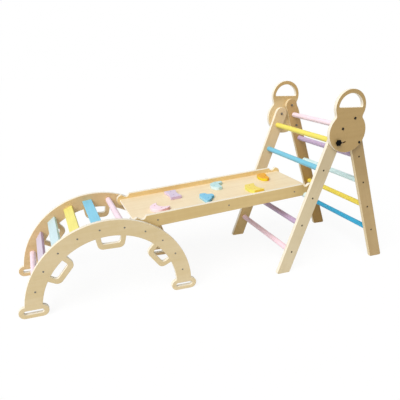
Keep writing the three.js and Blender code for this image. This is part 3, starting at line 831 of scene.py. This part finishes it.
# %% [markdown]
# ## Cross-pieces from one rule
# Rungs, slats and the ramp's board all follow one rule: a rectangle with rounded corners that
# is drawn out along Y. A round rung is the case where the corner radius is half the width.
# That is a good task for Geometry Nodes: one tree with named sizes makes them all. The tree
# draws the section, fills it, extrudes it and lays it in place.

# %% The cross-piece tree
def new_tree(name, inputs):
    tree = bpy.data.node_groups.new(name, "GeometryNodeTree")
    tree.interface.new_socket("Geometry", in_out="OUTPUT", socket_type="NodeSocketGeometry")
    for label, kind in inputs.items():
        tree.interface.new_socket(label, in_out="INPUT", socket_type="NodeSocket" + kind)
    return tree, add(tree, "NodeGroupInput").outputs, add(tree, "NodeGroupOutput").inputs[0]


cross_piece, sizes, result = new_tree("cross_piece", {
    "Width": "Float", "Thickness": "Float", "Corner Radius": "Float", "Corner Steps": "Int",
    "Length": "Float", "Place": "Vector", "Turn": "Vector", "Material": "Material",
})
section = add(cross_piece, "GeometryNodeCurvePrimitiveQuadrilateral", {
    "Width": sizes["Width"], "Height": sizes["Thickness"],
})
rounded = add(cross_piece, "GeometryNodeFilletCurve", {
    "Curve": section.outputs[0], "Radius": sizes["Corner Radius"], "Count": sizes["Corner Steps"],
}, mode="POLY")
face = add(cross_piece, "GeometryNodeFillCurve", {"Curve": rounded.outputs[0]}, mode="NGONS")
drawn = add(cross_piece, "GeometryNodeExtrudeMesh", {
    "Mesh": face.outputs[0], "Offset Scale": sizes["Length"], "Individual": False,
})
lid = add(cross_piece, "GeometryNodeFlipFaces", {"Mesh": face.outputs[0]})
both = add(cross_piece, "GeometryNodeJoinGeometry")
cross_piece.links.new(drawn.outputs[0], both.inputs[0])
cross_piece.links.new(lid.outputs[0], both.inputs[0])
sealed = add(cross_piece, "GeometryNodeMergeByDistance", {
    "Geometry": both.outputs[0], "Distance": same_point,
})
upright = add(cross_piece, "GeometryNodeTransform", {
    "Geometry": sealed.outputs[0], "Rotation": (-math.pi / 2, 0, 0),
})
laid = add(cross_piece, "GeometryNodeTransform", {
    "Geometry": upright.outputs[0], "Translation": sizes["Place"], "Rotation": sizes["Turn"],
})
whole = add(cross_piece, "GeometryNodeRealizeInstances", {0: laid.outputs[0]})
coated = add(cross_piece, "GeometryNodeSetMaterial", {
    "Geometry": whole.outputs[0], "Material": sizes["Material"],
})
cross_piece.links.new(coated.outputs[0], result)
print(len(cross_piece.nodes), "nodes draw a cross-piece")

# %% Growing a piece from a tree
end_rounding, rounding_steps, rounded_from = 0.8 * mm, 3, 60


def grow(name, tree, settings, rounding=0):
    """Runs a tree on an empty object with its inputs set, and keeps the result as a plain mesh."""
    thing = link(name, bpy.data.meshes.new(name))
    modifier = thing.modifiers.new("tree", "NODES")
    modifier.node_group = tree
    for item in tree.interface.items_tree:
        if item.in_out == "INPUT":
            modifier[item.identifier] = settings[item.name]
    if rounding:
        bevel = thing.modifiers.new("bevel", "BEVEL")
        bevel.width, bevel.segments = rounding, rounding_steps
        bevel.limit_method, bevel.angle_limit = "ANGLE", math.radians(rounded_from)
    thing.data = made_plain(thing)
    tidy_mesh(thing.data)
    softened(thing)
    return thing


def cross_settings(node, width, thickness, radius, steps, angle, material):
    """Sizes and place of a cross-piece whose ends are those of its CAD node."""
    low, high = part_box(node)
    place = Vector(((low.x + high.x) / 2, low.y, (low.z + high.z) / 2))
    return {
        "Width": width, "Thickness": thickness, "Corner Radius": radius, "Corner Steps": steps,
        "Length": high.y - low.y, "Place": place, "Turn": (0, angle, 0), "Material": material,
    }


# %% [markdown]
# ## Rungs and slats
# The ladder has five rungs in front and five at the back, all round. The arch has both kinds,
# flat slats to step on and round rungs to hold. A slat lies square to the arch's radius, so
# its turn is measured from the centre of the half rings.

# %% Rungs and slats
rung_diameter, rung_steps = 28 * mm, 12
slat_width, slat_thickness, slat_corner, slat_steps = 45 * mm, 15 * mm, 3 * mm, 6
arch_centre_height = 27 * mm
arch_centre = Vector((middle_of("arch_panel_near").x, 0, arch_centre_height))

for node in sorted(name for name in nodes if "_rung_" in name or "_slat_" in name):
    place, *_, colour = node.split("_")
    if "_slat_" in node:
        outward = middle_of(node) - arch_centre
        angle = math.atan2(outward.x, outward.z)
        tone, shaded = slat_tones_with_painted_shade[colour]
        paint = painted(node + "_paint", tone, along_rung, tone, shaded, turned_by=angle)
        section = (slat_width, slat_thickness, slat_corner, slat_steps, angle)
    else:
        paint = rung_paint[place, colour]
        section = (rung_diameter, rung_diameter, rung_diameter / 2, rung_steps, 0)
    settings = cross_settings(node, *section, paint)
    bar = grow(node + "_bar", cross_piece, settings, end_rounding)
    finished(bar, paint, "paint_" + colour, node)
    print(bar.name, len(bar.data.polygons), "faces,", round(settings["Length"] / mm), "mm long")

# %% [markdown]
# ## The ramp's board
# The board lies between the rails at half their height, with its faces in the ramp's plane.
# It is a wide, thin cross-piece. Its plies lie parallel to the ramp, so the birch gets the
# board's own thickness direction. It looks up to the light, and it gets a painted light: its
# face is the palest birch of all, and its sawn ends are nearly white.

# %% Board
board_thickness, board_corner, board_steps = 12 * mm, 1 * mm, 4
# Painted light: paler tones for the board's face and sawn ends than for the other sheets.
board_painted_light_tones, board_edge_painted_light_tones = ("#f1e0be", "#e6d1ab"), ("#fffcf4", "#fdf6e8")


def reach_of(node, way):
    """How far a node reaches along a direction: its lowest and highest place on it."""
    places = [Vector(v.co).dot(way) for v in nodes[node].data.vertices]
    return min(places), max(places)


low_end, high_end = reach_of("ramp_board", ramp_along)
board_length = high_end - low_end
board_level = sum(reach_of("ramp_board", ramp_up)) / 2
board_angle = -math.atan2(ramp_along.z, ramp_along.x)
board_wood = birch(
    "ramp_board_birch", *board_painted_light_tones, *board_edge_painted_light_tones, ramp_grain, board_level, through="Z",
)
board = grow("ramp_board_sheet", cross_piece, cross_settings(
    "ramp_board", board_length, board_thickness, board_corner, board_steps, board_angle, board_wood,
), end_rounding)
finished(board, board_wood, "board_ply", "ramp_board")
print(f"board {board_length / mm:.0f} mm long, {len(board.data.polygons)} faces")

# %% [markdown]
# ## Spinning small hardware
# Bolts and screw heads are round, so each is spun from half of its outline. The hexagon
# socket is part of the spin: the innermost rings are pushed onto a hexagon before they drop
# to the socket's floor. The spin is about Y, and heights are measured towards the viewer,
# along -Y.

# %% Round hardware
def spun(profile, hexagon_from, around=48):
    """A closed round shape. The profile lists (radius, height), first and last on the axis.
    Rings from hexagon_from on are six-sided."""
    shape = bmesh.new()
    rings = []
    for i, (radius, height) in enumerate(profile):
        if radius == 0:
            rings.append([shape.verts.new((0, -height, 0))] * around)
            continue
        ring = []
        for k in range(around):
            angle = 2 * math.pi * k / around
            reach = radius
            if i >= hexagon_from:
                sector = (angle % (math.pi / 3)) - math.pi / 6
                reach = radius * math.cos(math.pi / 6) / math.cos(sector)
            x, z = reach * math.cos(angle), reach * math.sin(angle)
            ring.append(shape.verts.new((x, -height, z)))
        rings.append(ring)
    for inner, outer in zip(rings, rings[1:]):
        for k in range(around):
            corners = [inner[k], inner[(k + 1) % around], outer[(k + 1) % around], outer[k]]
            shape.faces.new(list(dict.fromkeys(corners)))
    bmesh.ops.recalc_face_normals(shape, faces=shape.faces)
    return kept_mesh("spun", shape)


def facing_out(side):
    """Spun shapes look to the near side. Those on the far side are turned half round."""
    return Matrix.Rotation(0 if side == "near" else math.pi, 4, "Z")


def dome(radius, low, high, steps=7):
    """Profile points from the rim of a low dome up towards its flat top."""
    turns = [math.pi / 2 * k / steps for k in range(steps)]
    return [(radius * math.cos(t), low + (high - low) * math.sin(t)) for t in turns]


print("one spin function for bolts and screws")

# %% Bolts
bolt_head, bolt_height, bolt_rim = 6.5 * mm, 3.6 * mm, 1 * mm
bolt_shank = 3 * mm
small_part_angle = 32
socket_width, socket_depth = 2.4 * mm, 2.2 * mm

crown = [p for p in dome(bolt_head, bolt_rim, bolt_height) if p[0] > socket_width]
socket_floor = bolt_height - socket_depth
for node in sorted(name for name in nodes if "_bolt_" in name):
    low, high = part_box(node)
    length = high.y - low.y - bolt_height
    profile = [
        (0, -length), (bolt_shank, -length), (bolt_shank, 0), (bolt_head, 0), *crown,
        (socket_width, bolt_height), (socket_width, socket_floor), (0, socket_floor),
    ]
    mesh = spun(profile, hexagon_from=len(profile) - 3)
    side = node.split("_")[-1]
    middle = middle_of(node)
    middle.y = low.y + bolt_height if side == "near" else high.y - bolt_height
    mesh.transform(Matrix.Translation(middle) @ facing_out(side))
    bolt = link(node + "_spun", mesh)
    softened(bolt, small_part_angle)
    finished(bolt, steel["dark_bolt"], "steel", node)
print("bolts:", sum("_bolt_" in name for name in nodes))

# %% [markdown]
# ## The star knobs
# A hand turns these to lock the fold. The outline is a circle with six shallow lobes, and its
# rim is rounded in small steps. The rings are stacked from the boss at the plate to the
# shallow dish in the front face.

# %% The knob's shape
knob_radius, lobe_depth, lobes = 16 * mm, 2.6 * mm, 6
knob_height, boss_radius, boss_height = 12 * mm, 9 * mm, 3 * mm
rim_radius, rim_steps = 2.5 * mm, 5
dish_radius, dish_slope, dish_depth = 7 * mm, 0.6 * mm, 0.8 * mm


def star_ring(inset, lobed=1, around=120):
    """Points of the star's outline, moved inwards by the inset. Without lobes it is a circle."""
    points = []
    for k in range(around):
        angle = 2 * math.pi * k / around
        radius = knob_radius - inset - lobed * lobe_depth / 2 * (1 - math.cos(lobes * angle))
        points.append((radius * math.cos(angle), radius * math.sin(angle)))
    return points


def circle(radius):
    return star_ring(knob_radius - radius, 0)


def knob_mesh():
    rim = []
    for k in range(rim_steps + 1):
        turn = math.pi / 2 * k / rim_steps
        drop, inset = (rim_radius * (1 - f(turn)) for f in (math.sin, math.cos))
        rim.append((drop, star_ring(inset)))
    layers = [
        (0, circle(boss_radius)), (boss_height, circle(boss_radius)),
        *[(boss_height + drop, ring) for drop, ring in reversed(rim)],
        *[(knob_height - drop, ring) for drop, ring in rim],
        (knob_height, circle(dish_radius)),
        (knob_height - dish_depth, circle(dish_radius - dish_slope)),
    ]
    shape = bmesh.new()
    rings = [[shape.verts.new((x, -height, z)) for x, z in ring] for height, ring in layers]
    for lower, upper in zip(rings, rings[1:]):
        for k in range(len(lower)):
            j = (k + 1) % len(lower)
            shape.faces.new((lower[k], lower[j], upper[j], upper[k]))
    shape.faces.new(rings[0])
    shape.faces.new(rings[-1])
    bmesh.ops.recalc_face_normals(shape, faces=shape.faces)
    return kept_mesh("knob", shape)


print(f"a knob {2 * knob_radius / mm:.0f} mm wide with {lobes} lobes")

# %% Knobs
for side in ("near", "far"):
    node = f"clamp_knob_{side}"
    low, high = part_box(node)
    centre = middle_of(f"clamp_stud_{side}")
    centre.y = high.y if side == "near" else low.y
    mesh = knob_mesh()
    mesh.transform(Matrix.Translation(centre) @ facing_out(side))
    knob = link(node + "_star", mesh)
    softened(knob, small_part_angle)
    finished(knob, black_plastic, "knob_plastic", node)
    print(knob.name, len(knob.data.polygons), "faces")

# %% [markdown]
# ## Wood screws by Geometry Nodes
# Small screws hold every cross-piece, the board and the climbing holds. They repeat more than
# fifty times, so one head is modelled and Geometry Nodes set a copy on each point. Each point
# carries the direction in which its screw looks, and a fixed seed gives every screw its own
# turn, as a screwdriver leaves it. The heads on the arch, the ramp and the holds are a little
# smaller, and those on the holds are painted over.

# %% One screw head
screw_radius, screw_steps = 4.8 * mm, 24
screw_edge_angle = 35
full_size, small_size = 1.0, 0.8
head_profile = [
    (0, -2.4 * mm), (1.6 * mm, -2.4 * mm), (screw_radius, 0), (screw_radius, 0.25 * mm),
    (4.3 * mm, 0.6 * mm), (3.2 * mm, 0.85 * mm), (1.7 * mm, 0.95 * mm), (1.5 * mm, 0.95 * mm),
    (1.4 * mm, -1.1 * mm), (0, -1.1 * mm),
]
screw_mesh = spun(head_profile, hexagon_from=7, around=screw_steps)
screw_mesh.transform(Matrix.Rotation(-math.pi / 2, 4, "X"))
screw_mesh.shade_smooth()
screw_mesh.set_sharp_from_angle(angle=math.radians(screw_edge_angle))
screw_pattern = link("screw_pattern", screw_mesh)
print("a screw head of", len(screw_mesh.polygons), "faces")

# %% The screw tree
screw_tree, choices, result = new_tree("screws", {
    "Points": "Object", "Screw": "Object", "Seed": "Int", "Size": "Float", "Material": "Material",
})
places = add(screw_tree, "GeometryNodeObjectInfo", {"Object": choices["Points"]})
looks = add(screw_tree, "GeometryNodeInputNamedAttribute", {
    "Name": "looks",
}, data_type="FLOAT_VECTOR")
aim = add(screw_tree, "FunctionNodeAlignRotationToVector", {
    "Vector": looks.outputs["Attribute"],
}, axis="Z")
chance = add(screw_tree, "FunctionNodeRandomValue", {
    2: 0.0, 3: math.tau, "Seed": choices["Seed"],
}, data_type="FLOAT")
spin = add(screw_tree, "ShaderNodeCombineXYZ", {"Z": chance.outputs[1]})
aimed = add(screw_tree, "FunctionNodeRotateRotation", {
    "Rotation": aim.outputs[0], "Rotate By": spin.outputs[0],
}, rotation_space="LOCAL")
pattern = add(screw_tree, "GeometryNodeObjectInfo", {"Object": choices["Screw"]})
copies = add(screw_tree, "GeometryNodeInstanceOnPoints", {
    "Points": places.outputs["Geometry"], "Instance": pattern.outputs["Geometry"],
    "Rotation": aimed.outputs[0], "Scale": choices["Size"],
})
real = add(screw_tree, "GeometryNodeRealizeInstances", {0: copies.outputs[0]})
plated = add(screw_tree, "GeometryNodeSetMaterial", {
    "Geometry": real.outputs[0], "Material": choices["Material"],
})
screw_tree.links.new(plated.outputs[0], result)
print(len(screw_tree.nodes), "nodes set the screws")

# %% Where the screws go
def on_sheets(sheet_name, middles):
    """Two screws for each middle: on the outer face of the near sheet and of the far one."""
    near_y, far_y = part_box(sheet_name + "_near")[0].y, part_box(sheet_name + "_far")[1].y
    return [
        (Vector((middle.x, y, middle.z)), Vector((0, way, 0)))
        for middle in middles for y, way in ((near_y, -1), (far_y, 1))
    ]


def rungs_of(ladder, *colours):
    return [middle_of(f"{ladder}_rung_{colour}") for colour in colours]


arch_middles = [middle_of(name) for name in nodes if name.startswith(("arch_rung", "arch_slat"))]
rail_screws = (68 * mm, 420 * mm, 786 * mm)
rail_screw_height = 29.3 * mm
rail_middles = [
    low_hook + ramp_along * reach + ramp_up * rail_screw_height for reach in rail_screws
]
hold_screws = {
    "hold_crescent_pink": ((-19, 14), (4, -24)), "hold_block_lilac": ((-2, 28), (-1, -18)),
    "hold_boot_blue": ((-8, 27), (-6, -21)), "hold_hook_mint": ((2, 34), (-21, -7)),
    "hold_fan_yellow": ((-5, 29), (-5, -23)), "hold_heart_orange": ((-4, 32), (-3, -18)),
}


def on_hold(node, offsets):
    """Screw places on top of a hold, measured in mm from its middle."""
    along = sum(reach_of(node, ramp_along)) / 2
    across = sum(reach_of(node, ramp_across)) / 2
    base = ramp_along * along + ramp_across * across + ramp_up * reach_of(node, ramp_up)[1]
    return [(base + ramp_along * x * mm + ramp_across * y * mm, ramp_up) for x, y in offsets]


screws = [
    ("front_ladder", "front_ladder", steel["dark_screw"], full_size,
     on_sheets("front_leg", rungs_of("front", "blue", "mint", "lilac", "pink"))),
    ("back_ladder", "back_ladder", steel["dark_screw"], full_size,
     on_sheets("back_leg", rungs_of("back", "lilac", "mint", "yellow", "blue"))),
    ("arch", "arch", steel["grey_screw"], small_size, on_sheets("arch_panel", arch_middles)),
    ("ramp_rails", "ramp", steel["grey_screw"], small_size, on_sheets("ramp_rail", rail_middles)),
]
screws += [
    (node, "ramp", cap_paint[node.split("_")[-1]], small_size, on_hold(node, offsets))
    for node, offsets in hold_screws.items()
]
print({group: len(places) for group, *_, places in screws})

# %% Setting the screws
for seed, (group, body, coat, size, places) in enumerate(screws):
    cloud = bpy.data.meshes.new(group + "_points")
    cloud.from_pydata([tuple(place) for place, _ in places], [], [])
    directions = cloud.attributes.new("looks", "FLOAT_VECTOR", "POINT")
    directions.data.foreach_set("vector", [c for _, way in places for c in way])
    points = link(group + "_points", cloud)
    heads = grow(group + "_screws", screw_tree, {
        "Points": points, "Screw": screw_pattern, "Seed": seed, "Size": size, "Material": coat,
    })
    bpy.data.objects.remove(points)
    heads.data.materials.clear()
    heads.data.materials.append(coat)
    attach(heads, body)
    print(heads.name, len(places), "screws,", len(heads.data.polygons), "faces")
bpy.data.objects.remove(screw_pattern)

# %% [markdown]
# ## Nuts, washers and studs
# These stay as their CAD solids, because their shape is right. They only get plated steel.

# %% Steel on the remaining nodes
for name, node in nodes.items():
    if not node.hide_render:
        node.data.materials.clear()
        node.data.materials.append(steel["zinc"])
        print(name, "keeps its CAD shape")

# %% [markdown]
# ## Closing
# The difference between the visual model's box and the CAD model's box is printed.

# %% Sizes
low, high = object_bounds()
pairs = zip([*low, *high], [*cad_low, *cad_high])
print("visual minus CAD in mm:", [round((visual - cad) / mm, 2) for visual, cad in pairs])
